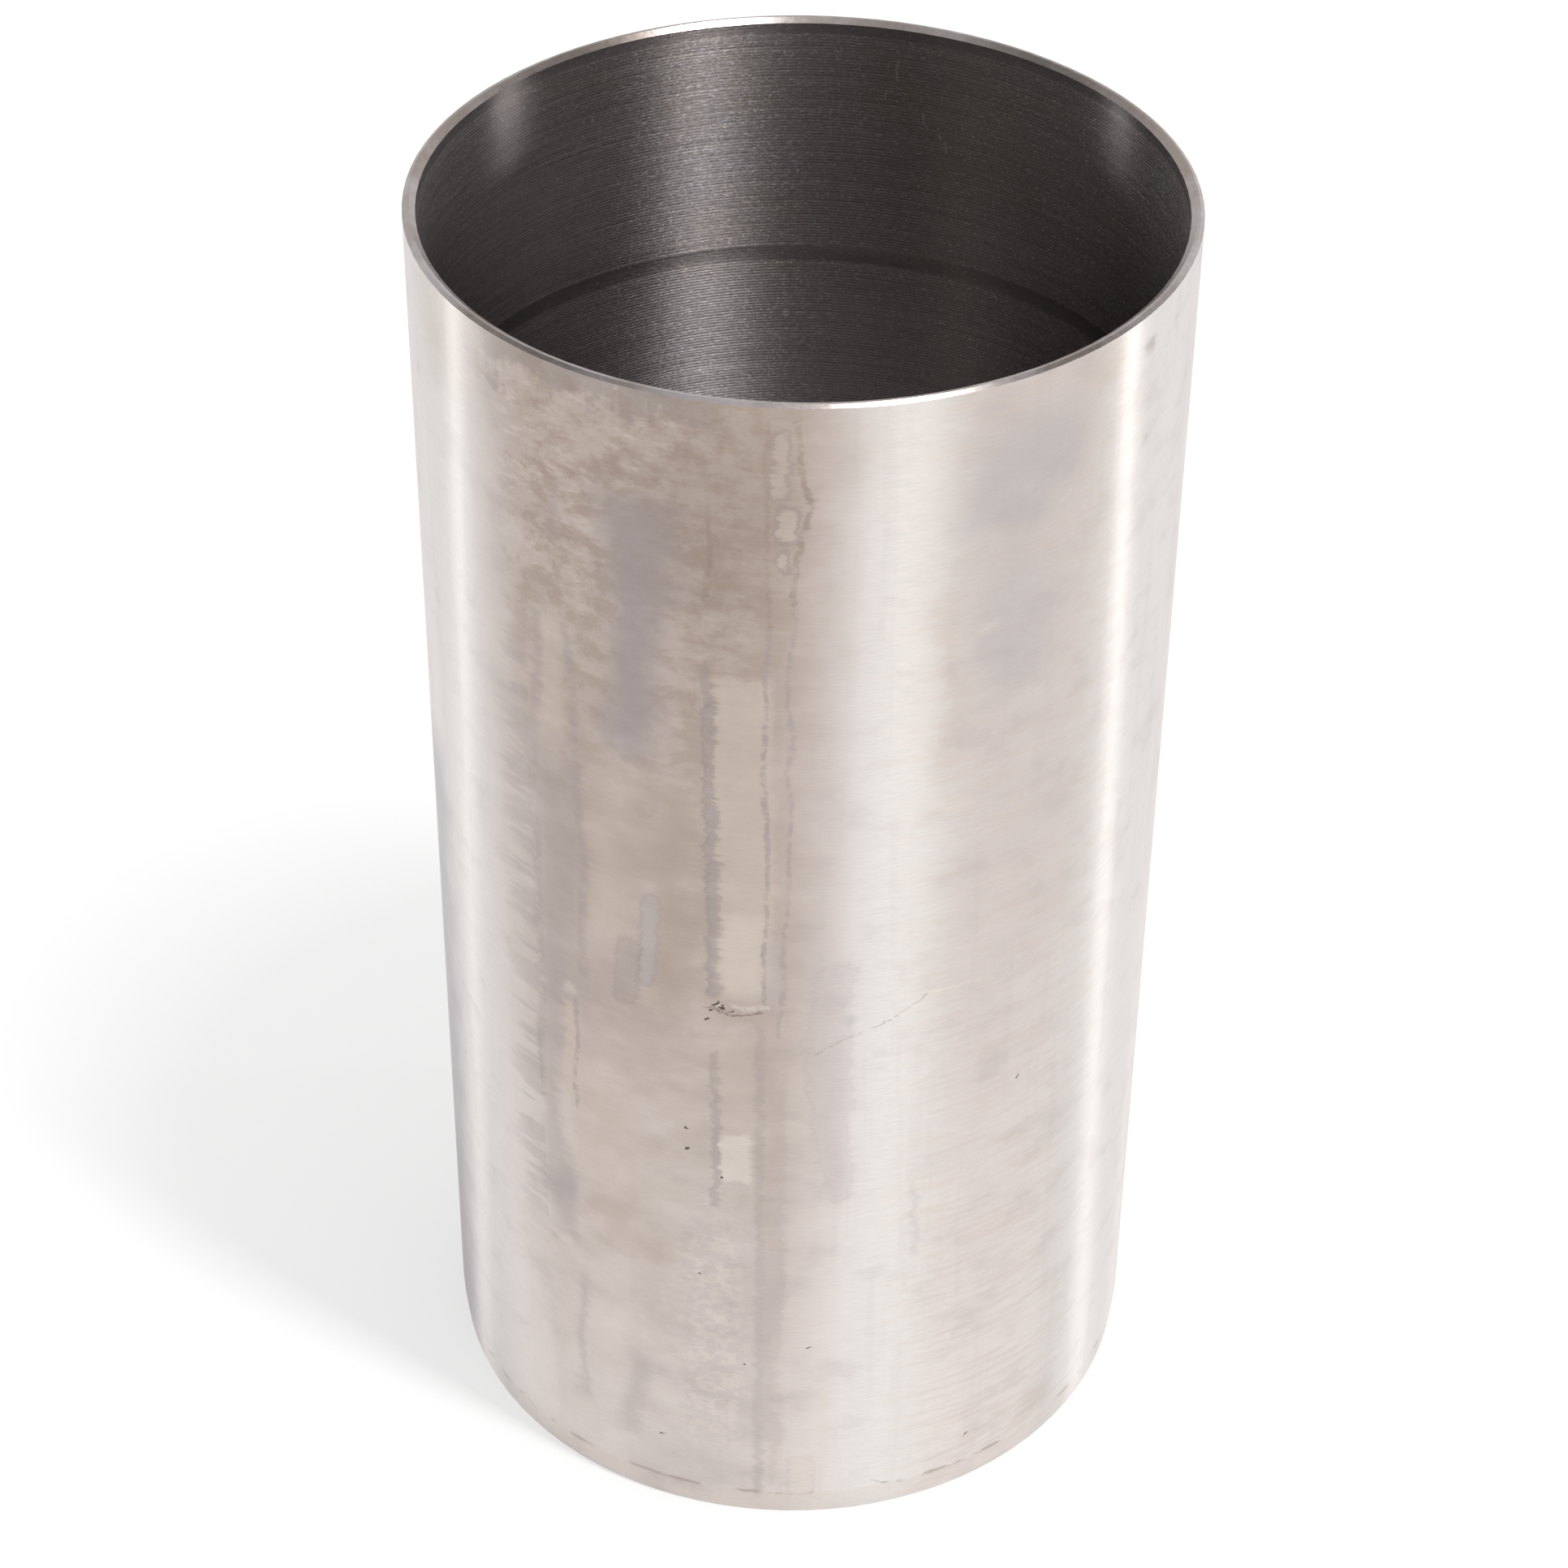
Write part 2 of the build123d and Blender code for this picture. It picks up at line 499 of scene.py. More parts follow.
wallFinish = {
    "roughness": 0.30,
    "blotchRoughness": 0.08,      # how far each pattern sways the roughness
    "grainRoughness": 0.10,
    "pitRoughness": 0.3,
    "anisotropy": 1.0,
    "bump": 0.009 * mm,
    "grainShade": 0.24,           # how far each pattern sways the brightness
    "streakShade": 0.07,
    "colors": {
        "silverTop": (0.755, 0.69, 0.665, 1),     # clean metal, darker towards the rim
        "silverFoot": (0.87, 0.80, 0.77, 1),
        # partly wiped metal, partly painted highlight
        "wipedAndHighlight": (0.785, 0.755, 0.735, 1),
        "tanTint": (0.485, 0.388, 0.327, 1),
        "crustTan": (0.42, 0.325, 0.27, 1),       # the crust high on the left
        "crustGrey": (0.60, 0.53, 0.485, 1),
        "dryingLine": (0.375, 0.32, 0.30, 1),
        "brown": (0.36, 0.275, 0.23, 1),
        "tan": (0.49, 0.39, 0.325, 1),
        "lightTan": (0.66, 0.565, 0.495, 1),
        "cream": (0.79, 0.715, 0.645, 1),
        "lavender": (0.42, 0.367, 0.367, 1),
        "paleLavender": (0.585, 0.52, 0.51, 1),
        "blueGrey": (0.52, 0.49, 0.505, 1),
        "dark": (0.20, 0.16, 0.145, 1),
    },
    "patterns": {
        "cloud": ((0, 0, 0), (0.030, 0.022), 4.0, 0.6),
        "blotch": ((90, 20, 0), (0.13, 0.20), 4.0, 0.62),
        "fleck": ((0, 70, 30), (0.60, 0.90), 4.0, 0.66),
        "streak": ((40, 0, 10), (0.10, 1.30), 4.0, 0.6),
        "grain": ((10, 10, 0), (0.55, 5.5), 3.0, 0.65),
        "runs": ((0, 0, 50), (0.45, 0.022), 3.0, 0.6),
        "drift": ((50, 50, 0), (0.12, 0.09), 5.0, 0.55),
        "dashes": ((0, 30, 5), (0.075, 0.6), 3.0, 0.6),
        "scuffs": ((15, 60, 0), (0.30, 0.9), 5.0, 0.68),
        "crust": ((33, 12, 7), (0.27, 0.40), 5.0, 0.70),
    },
    "tints": {
        "streaks": (0.5, 0.72, 0.14, "lightTan"),
        "runs": (0.54, 0.66, 0.11, "paleLavender"),
        "blotches": (0.52, 0.70, 0.25, "paleLavender"),
        "hatch": (0.58, 0.67, 0.34, "lavender"),
        "greyMottles": (0.55, 0.45, 0.35, "paleLavender"),
        "creamMottles": (0.49, 0.60, 0.42, "cream"),
        "scuffs": (0.51, 0.66, 0.42, "cream"),
        "tanCrust": (0.50, 0.40, 0.6, "crustTan"),
        "greyCrust": (0.50, 0.60, 0.5, "crustGrey"),
        "warmStreaks": (0.44, 0.62, 0.3, "lightTan"),
        "rimStrip": (163.0, 165.6, 0.6, "dryingLine"),    # heights
        "taper": (3.9, 3.3, 0.2, "lightTan"),             # heights
        "taperLine": (0.50, 0.58, 0.5, "brown"),
    },
    "zones": {
        "mottles": (-12.0, 5.5, 3.0, (4.0, 20.0), (60.0, 44.0)),
        "scuffs": (-33.0, 19.0, 6.0, (128.0, 160.0)),
        "crust": (-25.0, 20.0, 7.0, (96.0, 150.0)),
        "warmStreaks": (36.0, 18.0, 8.0),
        "rimStrip": (-30.0, 18.0, 5.0),
    },
    # strips of wall that carry a material each: name, first and last angle
    "sectors": [("Left", -63.75, -30.0), ("Middle", -30.0, -7.5), ("Front", -7.5, 63.75),
                ("Right", 63.75, 180.1), ("Back", -180.1, -63.75)],
    "silverHeights": (120.0, 5.0),
    # lighter, more neutral bands: those at 15.5, 59 and -64 degrees lie under the lamps' streaks and are
    # partly wiped metal, partly painted highlight; those at 92 and -160 are wiped metal. Middle angle and
    # half width
    "wipedAndHighlightBands": [(15.5, 7), (59, 13), (-64, 11), (92, 14), (-160, 12)],
    "wipedAndHighlightSoft": 5.0,
    # where the tan tint lies: middle angle, half width and strength
    "tanBands": [(-21.5, 25, 1.0), (33, 22, 0.28), (118, 34, 0.9), (-128, 30, 0.8), (176, 16, 0.5)],
    "tanSoft": 9.0,
    "tanHeights": (-10.0, 165.0, 0.22, 1.0),      # low and high, and the tint's share at each
    "tanMottle": 0.9,
    # millimetres by which the patterns carry the edges of stains
    "streakCarry": 2.4,
    "fleckCarry": 1.8,
    "driftCarry": 1.3,
    "upCarry": 2.2,
    "raggedCarry": (6.5, 7.0),    # across and up, more for soft patches
    "strokeCarry": 3.0,
    "strokeFeather": 0.35,        # share of the streak and fleck that a stroke takes
    "rimStripCarry": (11.0, 9.0, 9.0),            # by blotch, runs and fleck
    "hatchAngles": [(-52.5, -45.0), (-42.0, -42.6)],    # from and full, at each side
    "hatchHeights": [(30.0, 48.0), (138.0, 122.0)],
    "hatchLift": 0.15,            # how much the dashes thicken towards the hatch's middle
    "crustFleck": 0.22,
    "crustHeights": (146.0, 162.0, -0.015, 0.045),      # low and high, and the crust's shift at each
    "taperLine": (3.75, 0.8, 0.42, 0.1),          # height, its sway, and the line's edge and core in mm
    "raggedFrom": 1.0,            # patches softer than this have ragged edges
    "patchSlack": 5.0,            # degrees a patch may be carried over a sector's edge
    "markSlack": 3.0,
    # angle, height, half width in degrees, half height, lean in degrees per mm, soft edge in mm,
    # colour, strength, strength of the drying line if it has one
    "patches": [
        (-24, 137.5, 4, 17, 0.02, 2.6, "lavender", 0.8),
        (-19.6, 147.5, 2.4, 7.5, 0, 1.6, "lavender", 0.6),
        (-25.6, 120.5, 3.6, 2.2, 0, 1.1, "lavender", 0.35),
        (-36, 149, 1.4, 4.5, 0, 1.3, "lavender", 0.4),
        (-38, 124, 2.2, 11, 0, 1, "lightTan", 0.55),
        (-37.6, 98, 3.9, 20, 0.02, 2.6, "lavender", 0.42),
        (-40, 66, 2.2, 20, 0, 1.6, "lavender", 0.36),
        (-36.4, 71.5, 1.2, 8, 0.03, 0.7, "lightTan", 0.7),
        (-35.9, 81.6, 1.3, 0.8, 0, 0.5, "cream", 0.45),
        (-37.4, 60.5, 1.4, 4.5, -0.12, 1, "cream", 0.4),
        (-31, 60, 5.5, 8, 0.12, 2, "lightTan", 0.42),
        (-24, 44, 6, 2.4, 0.9, 1.8, "tan", 0.25),
        (-30, 47.5, 5, 2.6, 0.5, 1.4, "tan", 0.4),
        (-21.9, 93.5, 1.35, 7.2, 0.10, 0.8, "blueGrey", 0.5, 0.3),
        (-25.6, 87.8, 1.9, 5, 0.08, 0.9, "lavender", 0.35, 0.3),
        (-28.5, 104, 3.2, 13, 0.1, 2.2, "lightTan", 0.38),
        (-17.5, 101, 2.6, 15, 0, 2.2, "tan", 0.5),
        (-12.1, 108, 0.75, 21, -0.02, 0.4, "lavender", 0.55, 0.5),
        (-12.8, 131.5, 0.35, 3, 0, 0.4, "lavender", 0.5, 0.3),
        (-14, 152, 9, 10, 0, 5, "brown", 0.35),
        (-7.2, 110.5, 4.1, 22.4, -0.012, 0.6, "lightTan", 0.7),
        (-7.6, 93, 3.1, 6.6, 0, 1, "cream", 0.4),
        (-2.9, 92, 0.9, 5.2, 0, 0.7, "paleLavender", 0.6),
        (-11.8, 66, 0.4, 12.5, 0.01, 0.5, "lavender", 0.45, 0.25),
        (-8.6, 61.8, 2.4, 3.9, 0, 0.35, "cream", 0.75),
        (-8.4, 75, 2.6, 7, 0, 1.2, "lightTan", 0.3),
        (-4.8, 43, 0.4, 40, 0, 0.6, "lavender", 0.35, 0.1),
        (-2.9, 43, 0.9, 37, 0, 1.2, "tan", 0.26),
        (-1.4, 52, 0.25, 24, 0, 0.7, "lavender", 0.25),
        (-4.4, 30, 1.8, 17, 0, 1.6, "paleLavender", 0.55),
        (-39, 46, 2.4, 6, 0.05, 1.6, "lavender", 0.45),
        (-38, 39.3, 0.9, 0.7, 0, 0.5, "cream", 0.55),
        (-41, 38.6, 0.7, 0.6, 0, 0.5, "brown", 0.4),
        (-36, 24, 0.8, 11, 0.03, 1.1, "lavender", 0.4),
        (-30.7, 27.2, 3, 4.2, 0, 0.9, "cream", 0.35),
        (-25.6, 17, 1.8, 8, 0.12, 1.6, "lavender", 0.34),
        (-17.5, 6, 8, 4.4, 0, 2.6, "paleLavender", 0.4),
        (-2.4, 160.6, 1.2, 4.4, 0.02, 0.6, "lightTan", 0.4, 0.5),
        (-1.6, 153.2, 1.6, 2.4, 0, 0.6, "lightTan", 0.5, 0.6),
        (-1.9, 148.6, 0.9, 1.5, 0, 0.5, "lightTan", 0.45, 0.55),
        (1.6, 156.4, 0.5, 0.8, 0, 0.6, "brown", 0.55),
        (8.5, 162, 3, 7, 0, 3, "tan", 0.22),
        (33, 155.5, 9, 6.5, 0.35, 4, "blueGrey", 0.62),
        (32.5, 136, 6, 9, 0, 3.5, "blueGrey", 0.42),
        (46, 164.5, 3.5, 2.5, 0, 1.8, "lightTan", 0.4),
        (37.5, 144.9, 0.9, 0.5, 0, 0.5, "lightTan", 0.6),
        (28, 136.9, 1.6, 0.5, 0, 0.9, "cream", 0.45),
        (24, 113.4, 2.6, 0.8, 0, 1, "cream", 0.4),
        (22, 130, 1.6, 13, 0, 2.4, "tan", 0.25),
        (19.7, 50, 0.4, 6, -0.04, 0.8, "blueGrey", 0.5),
        (57, 163.6, 1.2, 0.9, 0, 0.9, "brown", 0.6, 0.2),
        (57.4, 151.6, 0.8, 0.5, 0, 0.8, "brown", 0.4),
        (6, 16.8, 0.4, 9.6, -0.03, 0.8, "cream", 0.6),
        (2.2, 6.9, 2.2, 3.4, 0, 0.8, "cream", 0.5, 0.1),
        (26, 11.9, 0.5, 0.9, 0, 0.7, "cream", 0.5),
        (46, 7.4, 3, 3, 0, 2.2, "tan", 0.3),
        (5.6, 74, 2.6, 19, 0, 1.6, "paleLavender", 0.5, 0.1),
        (8.6, 84, 0.5, 1, 0, 0.6, "blueGrey", 0.6),
        # painted shade, not stains: the next two darken the left side of the wall from the foot to about 100
        # mm, and the light tan one at -63 degrees dims the top of the left lamp's streak
        (-88, 46, 18, 54, 0, 5, "blueGrey", 0.95),
        (-90, 12, 18, 22, 0, 6, "lavender", 0.5),
        (-63, 163, 8, 9, 0, 5, "lightTan", 0.4),
        (88, 128, 5, 24, 0.03, 1.8, "paleLavender", 0.5, 0.08),
        (101, 96, 3.4, 33, 0, 1.8, "lightTan", 0.5, 0.08),
        (112, 52, 1.6, 22, 0.03, 1.8, "blueGrey", 0.45, 0.08),
        (126, 140, 6, 11, 0, 3, "lavender", 0.5),
        (139, 74, 4.2, 15, 0, 1.8, "lightTan", 0.55, 0.08),
        (148, 30, 1.1, 15, 0, 1.8, "paleLavender", 0.5, 0.08),
        (166, 112, 2.6, 28, -0.03, 1.8, "paleLavender", 0.5, 0.08),
        (-172, 58, 4.4, 9, 0, 1.8, "cream", 0.4, 0.08),
        (-158, 132, 4, 18, 0, 2.4, "lavender", 0.5),
        (-146, 84, 1.2, 30, 0.02, 1.8, "paleLavender", 0.5, 0.08),
        (-134, 46, 4.8, 14, 0, 1.8, "lightTan", 0.5, 0.08),
        (-117, 118, 3.2, 22, 0.03, 1.8, "blueGrey", 0.5),
        (-104, 66, 2, 12, 0, 1.8, "cream", 0.4, 0.08),
        (-92, 28, 3.6, 12, 0, 2.4, "paleLavender", 0.5),
    ],
    # colour, width in mm, strength, then its run of (angle, height)
    "strokes": [
        ("lavender", 1, 0.45, [(-40, 134.5), (-41.5, 110), (-42.1, 75), (-42.4, 62)]),
        ("lavender", 0.95, 0.5, [(-35.2, 135.5), (-34.3, 128), (-33.5, 115), (-33, 100), (-33.2, 85)]),
        ("lavender", 0.5, 0.6, [(-35.2, 80), (-35.4, 63)]),
        ("lavender", 0.5, 0.7, [(-4.1, 140), (-4.5, 112), (-4.2, 86)]),
        ("lavender", 0.45, 0.5, [(-0.6, 143), (-1, 110), (-1.6, 82)]),
        ("brown", 0.55, 0.6, [(0.3, 166), (0.6, 160), (2, 156.2), (0.4, 151), (-0.6, 143)]),
        ("brown", 0.4, 0.35, [(-4, 166), (-4.3, 154), (-3.8, 140)]),
        ("brown", 0.5, 0.5, [(-12.9, 157), (-12.5, 150), (-13.2, 143)]),
        ("dark", 0.24, 0.66, [(-13.3, 85.2), (-11.6, 85.4), (-9.2, 84.3), (-7.6, 84.8), (-4.6, 85.3)]),
        ("cream", 0.5, 0.6, [(-11, 86.1), (-7.5, 85.7), (-3.5, 86.2)]),
        ("dark", 0.22, 0.42, [(3.5, 78.9), (7.6, 81.3), (12, 82.4), (17, 84.4), (20, 86.3)]),
        ("cream", 0.35, 0.55, [(20, 86.5), (30, 86.3), (41, 86.8)]),
        ("dark", 0.3, 0.55, [(14, 5), (15.2, 4.3), (16.4, 4.1)]),
    ],
    "strokeFlecks": (0.36, 0.52),                 # where flecks and blotches break a stroke
    "strokeBlotches": (0.36, 0.54, 0.45, 1.0),
    # small pits: angle, height, radius in mm
    "pits": [
        (-12.5, 83.7, 0.28), (-12, 84.9, 0.3), (-11.5, 85.9, 0.28), (-10.7, 85.4, 0.36), (-9.4, 84.9, 0.25),
        (-16, 65.8, 0.3), (-16, 62.2, 0.25), (-10.8, 58.6, 0.25), (-14.3, 41.9, 0.22), (-7, 26.8, 0.25),
        (-20.6, 11.4, 0.3), (3.8, 30.4, 0.22), (37, 68.1, 0.25), (31, 8.4, 0.25), (142, 96, 0.3),
        (-128, 72, 0.28), (104, 36, 0.25), (-150, 24, 0.3),
    ],
    "pitCore": 0.45,
    "pitStrength": 0.85,
}
wallArc = outerRadius / mm * math.pi / 180    # millimetres of wall to a degree


def nearSector(start, end, angles, slack):
    # whether anything at these angles, on the wall or a turn away from it, reaches into the sector
    low, high = min(angles) - slack, max(angles) + slack
    return any(low + turn < end and high + turn > start for turn in (-360, 0, 360))


def makeGroundMetal(unroller, patchGroup, strokeGroup, name, start, end):
    # each sector of the wall carries only its own stains, which keeps its tree quick
    f = wallFinish
    colors = f["colors"]
    material, tree, shader = startMaterial("groundOutside" + name)
    across, angle, height, solid = useGroup(tree, unroller, {"Radius": outerRadius / mm})
    cloud, blotch, fleck, streak, grain, runs, drift = (
        pattern(tree, solid, f, label)
        for label in ("cloud", "blotch", "fleck", "streak", "grain", "runs", "drift"))

    # bare metal, brighter towards the foot, then lighter bands that are partly painted highlight, then the
    # tan tint
    color = blend(tree, ramp(tree, height, *f["silverHeights"]), colors["silverTop"], colors["silverFoot"])
    # painted highlight under the lamps' streaks, on partly wiped metal
    for middle, halfWidth in f["wipedAndHighlightBands"]:
        wipedAndLit = angleWindow(tree, angle, middle, halfWidth, f["wipedAndHighlightSoft"])
        color = blend(tree, wipedAndLit, color, colors["wipedAndHighlight"])
    tint = chain(tree, "MAXIMUM", (
        calc(tree, "MULTIPLY", angleWindow(tree, angle, middle, halfWidth, f["tanSoft"]), strength)
        for middle, halfWidth, strength in f["tanBands"]))
    high = ramp(tree, height, *f["tanHeights"], smooth=False)
    mottled = sway(tree, blotch, f["tanMottle"], sway(tree, cloud, f["tanMottle"], 1.0))
    tint = calc(tree, "MINIMUM", chain(tree, "MULTIPLY", (tint, high, mottled)), 1.0)
    color = blend(tree, tint, color, colors["tanTint"])
    for label, mask in (("streaks", streak), ("runs", runs), ("blotches", blotch)):
        color = tinted(tree, color, f, label, mask)

    # edges of stains are carried a little by the patterns and feather along the grain
    feather = sway(tree, streak, f["streakCarry"], sway(tree, fleck, f["fleckCarry"]))
    crinkledAcross = sway(tree, drift, f["driftCarry"], calc(tree, "ADD", across, feather))
    crinkledUp = sway(tree, fleck, f["upCarry"], height)
    gentlyAcross = sway(tree, drift, f["strokeCarry"],
                        calc(tree, "MULTIPLY_ADD", feather, f["strokeFeather"], across))
    raggedAcross = sway(tree, drift, f["raggedCarry"][0], crinkledAcross)
    raggedUp = sway(tree, blotch, f["raggedCarry"][1], crinkledUp)

    # hatch of short dashes, feathered to the left of a sharp edge
    hatch = chain(tree, "MULTIPLY", (
        ramp(tree, value, *fade)
        for value, fades in ((angle, f["hatchAngles"]), (height, f["hatchHeights"])) for fade in fades))
    dashes = calc(tree, "MULTIPLY_ADD", hatch, f["hatchLift"], pattern(tree, solid, f, "dashes"))
    color = tinted(tree, color, f, "hatch", dashes, hatch)

    # fine mottles low down, pale scuffs and the crust high up on the left
    where = zone(tree, f, "mottles", angle, height)
    for label in ("greyMottles", "creamMottles"):
        color = tinted(tree, color, f, label, fleck, where)
    where = zone(tree, f, "scuffs", angle, height)
    color = tinted(tree, color, f, "scuffs", pattern(tree, solid, f, "scuffs"), where)
    crust = sway(tree, fleck, f["crustFleck"], pattern(tree, solid, f, "crust"))
    crust = calc(tree, "ADD", crust, ramp(tree, height, *f["crustHeights"]))
    where = zone(tree, f, "crust", angle, height)
    for label in ("tanCrust", "greyCrust"):
        color = tinted(tree, color, f, label, crust, where)

    # warm level streaks on the right, and a brown strip under the rim with a jagged foot
    color = tinted(tree, color, f, "warmStreaks", streak, zone(tree, f, "warmStreaks", angle, height))
    strip = height
    for mask, amount in zip((blotch, runs, fleck), f["rimStripCarry"]):
        strip = sway(tree, mask, amount, strip)
    color = tinted(tree, color, f, "rimStrip", strip, zone(tree, f, "rimStrip", angle, height))

    for at, up, halfWidth, halfHeight, lean, soft, shade, strength, *dried in f["patches"]:
        if not nearSector(start, end, [at], halfWidth + abs(lean) * halfHeight + soft + f["patchSlack"]):
            continue
        ragged = soft > f["raggedFrom"]
        patch = useGroup(tree, patchGroup, {
            "Across": raggedAcross if ragged else crinkledAcross, "Up": raggedUp if ragged else crinkledUp,
            "Middle Across": at * wallArc, "Middle Up": up, "Half Width": halfWidth * wallArc,
            "Half Height": halfHeight, "Lean": lean * wallArc, "Soft": soft})
        color = stainAndShade(tree, color, patch["Fill"], strength, colors[shade])
        for lineStrength in dried:
            color = stainAndShade(tree, color, patch["Line"], lineStrength, colors["dryingLine"])

    for shade, width, strength, run in f["strokes"]:
        if not nearSector(start, end, [at for at, _ in run], f["markSlack"]):
            continue
        broken = chain(tree, "MULTIPLY", (
            drawRun(tree, strokeGroup, gentlyAcross, crinkledUp, wallArc, width, run),
            ramp(tree, fleck, *f["strokeFlecks"]), ramp(tree, blotch, *f["strokeBlotches"])))
        color = stainAndShade(tree, color, broken, strength, colors[shade])

    pits = 0.0
    for at, up, size in f["pits"]:
        if not nearSector(start, end, [at], f["markSlack"]):
            continue
        away = pair(tree, calc(tree, "SUBTRACT", crinkledAcross, at * wallArc),
                    calc(tree, "SUBTRACT", crinkledUp, up))
        off = vectorCalc(tree, "LENGTH", {0: away})
        pits = calc(tree, "MAXIMUM", pits, ramp(tree, off, size, size * f["pitCore"]))
    color = stainAndShade(tree, color, pits, f["pitStrength"], colors["dark"])

    # the lead taper is greyer, with a broken brown line along its top edge
    color = tinted(tree, color, f, "taper", height)
    lineHeight, lineSway, *lineEdges = f["taperLine"]
    off = calc(tree, "ABSOLUTE", calc(tree, "SUBTRACT", height, sway(tree, fleck, lineSway, lineHeight)))
    color = tinted(tree, color, f, "taperLine", blotch, ramp(tree, off, *lineEdges))

    # grinding grain
    fine = sway(tree, streak, f["streakShade"], sway(tree, grain, f["grainShade"], 1.0))
    color = shadeBy(tree, color, fine)
    rough = sway(tree, blotch, f["blotchRoughness"], sway(tree, grain, f["grainRoughness"], f["roughness"]))
    finishMetal(tree, shader, f, color, calc(tree, "MULTIPLY_ADD", pits, f["pitRoughness"], rough), grain)
    return material


boreFinish = {
    "roughness": 0.425,
    "speckRoughness": 0.38,       # how far specks and grooves sway the roughness
    "grooveRoughness": 0.05,
    "anisotropy": 1.0,
    "bump": 0.022 * mm,
    "ringShade": 0.45,            # how far rings, specks and grooves sway the brightness
    "speckShade": 0.7,
    "grooveShade": 0.20,
    "grooveWander": 5.0,          # radians of a groove
    "plainShade": 0.74,           # the plain bands, as a share of the turned wall's brightness
    "plainRoughness": -0.04,
    "plainSoft": 0.06,            # mm
    "colors": {
        "iron": (0.315, 0.288, 0.287, 1),
        "brown": (0.315, 0.27, 0.25, 1),
        "paleSide": (0.56, 0.51, 0.51, 1),
        "darkSide": (0.24, 0.20, 0.185, 1),
        "warmSpark": (0.66, 0.56, 0.50, 1),
        "coolSpark": (0.52, 0.50, 0.62, 1),
        "dust": (0.60, 0.57, 0.54, 1),
    },
    "patterns": {
        "cloud": ((0, 0, 0), (0.035, 0.05), 4.0, 0.6),
        "speck": ((20, 0, 0), (2.2, 4.5), 3.0, 0.7),
        "rings": ((0, 20, 0), (0.03, 2.2), 3.0, 0.6),
        "hue": ((0, 0, 80), (1.6, 2.6), 2.0, 0.6),
    },
    "tints": {
        "brown": (0.42, 0.66, 1.0, "brown"),
    },
    "zones": {
        "litSide": (-126.0, 17.0, 14.0, (165.0, 146.0)),    # painted light: paler on one side, fading out towards the rim
        # painted shade: a darker strip of the bore at 157 degrees
        "shadedSide": (157.0, 9.0, 8.0),
    },
    "shadedSideStrength": 0.4,
    "sparkHues": (0.44, 0.56),    # the hue pattern from warm to cool
    "sparks": (0.54, 0.68),
    "sparkStrength": 0.6,
    "dustPerMm": 0.16,
    "dustSize": (0.05, 0.02),     # edge and core, as a share of their spacing
    "dustPlaces": (0.46, 0.56),
    "dustStrength": 0.8,
    # stray fibres: width in mm, then the run of (angle, height)
    "fibres": [
        (0.16, [(164.7, 163.4), (165.2, 162.1), (164.9, 160.6)]),
        (0.14, [(166.7, 159.2), (166.9, 158.0)]),
        (0.18, [(160.5, 156.6), (160.3, 155.6), (159.6, 154.8)]),
        (0.15, [(156.6, 153.6), (156.2, 152.0)]),
        (0.2, [(174.9, 163.2), (174.7, 162.7)]),
        (0.16, [(146.6, 134.2), (146.0, 133.5)]),
    ],
    "fibreStrength": 0.7,
}
boreArc = boreRadius / mm * math.pi / 180


def boreBands():
    # middle height and half height of the two plain bands
    s = linerShape
    entry = linerHeight - s["rimInnerDrop"] - s["entryBand"] / 2
    ring = linerHeight - s["ringFromTop"] - s["ringHeight"] / 2
    return (entry, s["entryBand"] / 2), (ring, s["ringHeight"] / 2)


